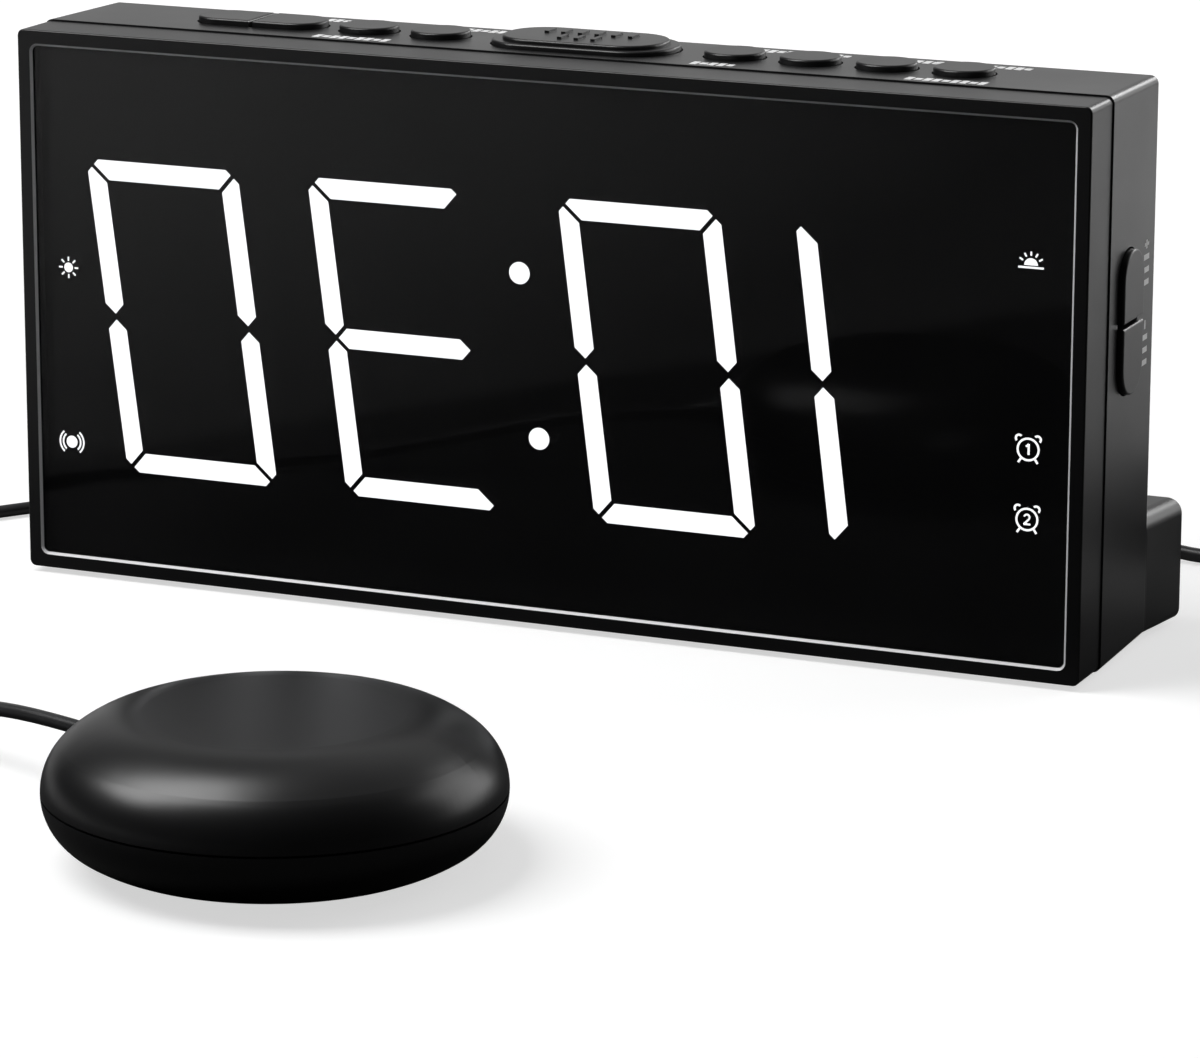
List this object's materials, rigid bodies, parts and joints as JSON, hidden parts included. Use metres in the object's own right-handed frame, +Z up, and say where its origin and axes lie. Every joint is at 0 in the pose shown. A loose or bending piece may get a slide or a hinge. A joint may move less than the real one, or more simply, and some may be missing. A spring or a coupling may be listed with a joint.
{
  "type": "bed shaker alarm clock",
  "caption": "Wide black digital alarm clock with a dark lens, raised digit bars, top and side keys, a rear foot, and a round vibrating puck on a cord.",
  "frame": {"origin": "on the table, in the middle of the footprint of the clock and its puck, cords left out", "axes": "+X to the right as one faces the display, +Y from the display towards the back, +Z up"},
  "size_m": [0.3063, 0.3293, 0.1089],
  "materials": {
    "shell_plastic": "fine satin moulding",
    "bezel_plastic": "satin",
    "lens": "dark, polished",
    "module_plastic": "matt",
    "lit_diffuser": "glowing white",
    "dark_diffuser": "unlit, behind the dark lens",
    "board": "solder mask",
    "steel": "plated",
    "brass": "bare",
    "speaker_body": "satin black",
    "cell_steel": "nickel",
    "socket_plastic": "moulded",
    "pad_rubber": "matt",
    "cord_rubber": "smooth satin",
    "puck_plastic": "satin, slightly soft"
  },
  "bodies": {
    "clock_and_puck": {"front_bezel": "bezel_plastic", "display_lens": "lens", "display_module": "module_plastic", "lit_segments": "lit_diffuser", "dark_segments": "dark_diffuser", "indicator_windows": "dark_diffuser", "main_board": "board", "board_screws": "steel", "rear_shell": "shell_plastic", "rubber_feet": "pad_rubber", "key_board": "board", "side_board": "board", "key_switches": "steel", "speaker": "speaker_body", "back_up_cell": "cell_steel", "cell_contacts": "steel", "socket_board": "board", "power_socket": "socket_plastic", "shaker_socket": "socket_plastic", "power_plug": "cord_rubber", "shaker_plug": "cord_rubber", "puck_top": "puck_plastic", "puck_base": "puck_plastic", "puck_screws": "steel", "motor": "steel", "motor_strap": "steel", "strap_screws": "steel", "puck_gland": "cord_rubber", "shaker_cord_near": "cord_rubber", "shaker_coil": "cord_rubber", "shaker_cord_far": "cord_rubber", "power_cord_near": "cord_rubber", "power_coil": "cord_rubber", "power_cord_far": "cord_rubber", "usb_plug": "cord_rubber", "usb_plug_shell": "steel", "usb_plug_tongue": "socket_plastic"},
    "snooze_key_body": {"snooze_key": "shell_plastic"},
    "pair_key_left_body": {"pair_key_left": "shell_plastic"},
    "pair_key_right_body": {"pair_key_right": "shell_plastic"},
    "round_key_1_body": {"round_key_1": "shell_plastic"},
    "round_key_2_body": {"round_key_2": "shell_plastic"},
    "round_key_3_body": {"round_key_3": "shell_plastic"},
    "round_key_4_body": {"round_key_4": "shell_plastic"},
    "round_key_5_body": {"round_key_5": "shell_plastic"},
    "round_key_6_body": {"round_key_6": "shell_plastic"},
    "volume_up_key_body": {"volume_up_key": "shell_plastic"},
    "volume_down_key_body": {"volume_down_key": "shell_plastic"},
    "weight_and_shaft": {"motor_shaft": "steel", "eccentric_weight": "brass"},
    "cell_door_body": {"cell_door": "shell_plastic", "cell_door_screw": "steel"}
  },
  "joints": [
    {"name": "snooze_key_press", "type": "slide", "parent": "clock_and_puck", "child": "snooze_key_body", "axis": [0, 0, -1], "range_m": [0, 0.0008], "stiffness_N_per_m": 500, "springref_m": -0.0004},
    {"name": "pair_key_left_press", "type": "slide", "parent": "clock_and_puck", "child": "pair_key_left_body", "axis": [0, 0, -1], "range_m": [0, 0.0008], "stiffness_N_per_m": 500, "springref_m": -0.0004},
    {"name": "pair_key_right_press", "type": "slide", "parent": "clock_and_puck", "child": "pair_key_right_body", "axis": [0, 0, -1], "range_m": [0, 0.0008], "stiffness_N_per_m": 500, "springref_m": -0.0004},
    {"name": "round_key_1_press", "type": "slide", "parent": "clock_and_puck", "child": "round_key_1_body", "axis": [0, 0, -1], "range_m": [0, 0.0008], "stiffness_N_per_m": 500, "springref_m": -0.0004},
    {"name": "round_key_2_press", "type": "slide", "parent": "clock_and_puck", "child": "round_key_2_body", "axis": [0, 0, -1], "range_m": [0, 0.0008], "stiffness_N_per_m": 500, "springref_m": -0.0004},
    {"name": "round_key_3_press", "type": "slide", "parent": "clock_and_puck", "child": "round_key_3_body", "axis": [0, 0, -1], "range_m": [0, 0.0008], "stiffness_N_per_m": 500, "springref_m": -0.0004},
    {"name": "round_key_4_press", "type": "slide", "parent": "clock_and_puck", "child": "round_key_4_body", "axis": [0, 0, -1], "range_m": [0, 0.0008], "stiffness_N_per_m": 500, "springref_m": -0.0004},
    {"name": "round_key_5_press", "type": "slide", "parent": "clock_and_puck", "child": "round_key_5_body", "axis": [0, 0, -1], "range_m": [0, 0.0008], "stiffness_N_per_m": 500, "springref_m": -0.0004},
    {"name": "round_key_6_press", "type": "slide", "parent": "clock_and_puck", "child": "round_key_6_body", "axis": [0, 0, -1], "range_m": [0, 0.0008], "stiffness_N_per_m": 500, "springref_m": -0.0004},
    {"name": "volume_up_key_press", "type": "slide", "parent": "clock_and_puck", "child": "volume_up_key_body", "axis": [-1, 0, 0], "range_m": [0, 0.0008], "stiffness_N_per_m": 500, "springref_m": -0.0004},
    {"name": "volume_down_key_press", "type": "slide", "parent": "clock_and_puck", "child": "volume_down_key_body", "axis": [-1, 0, 0], "range_m": [0, 0.0008], "stiffness_N_per_m": 500, "springref_m": -0.0004},
    {"name": "weight_spin", "type": "hinge", "parent": "clock_and_puck", "child": "weight_and_shaft", "pos_m": [0.0197, -0.08115, 0.0115], "axis": [1, 0, 0], "continuous": true},
    {"name": "cell_door_lift_off", "type": "slide", "parent": "clock_and_puck", "child": "cell_door_body", "axis": [0, 1, 0], "range_m": [0, 0.02]}
  ]
}
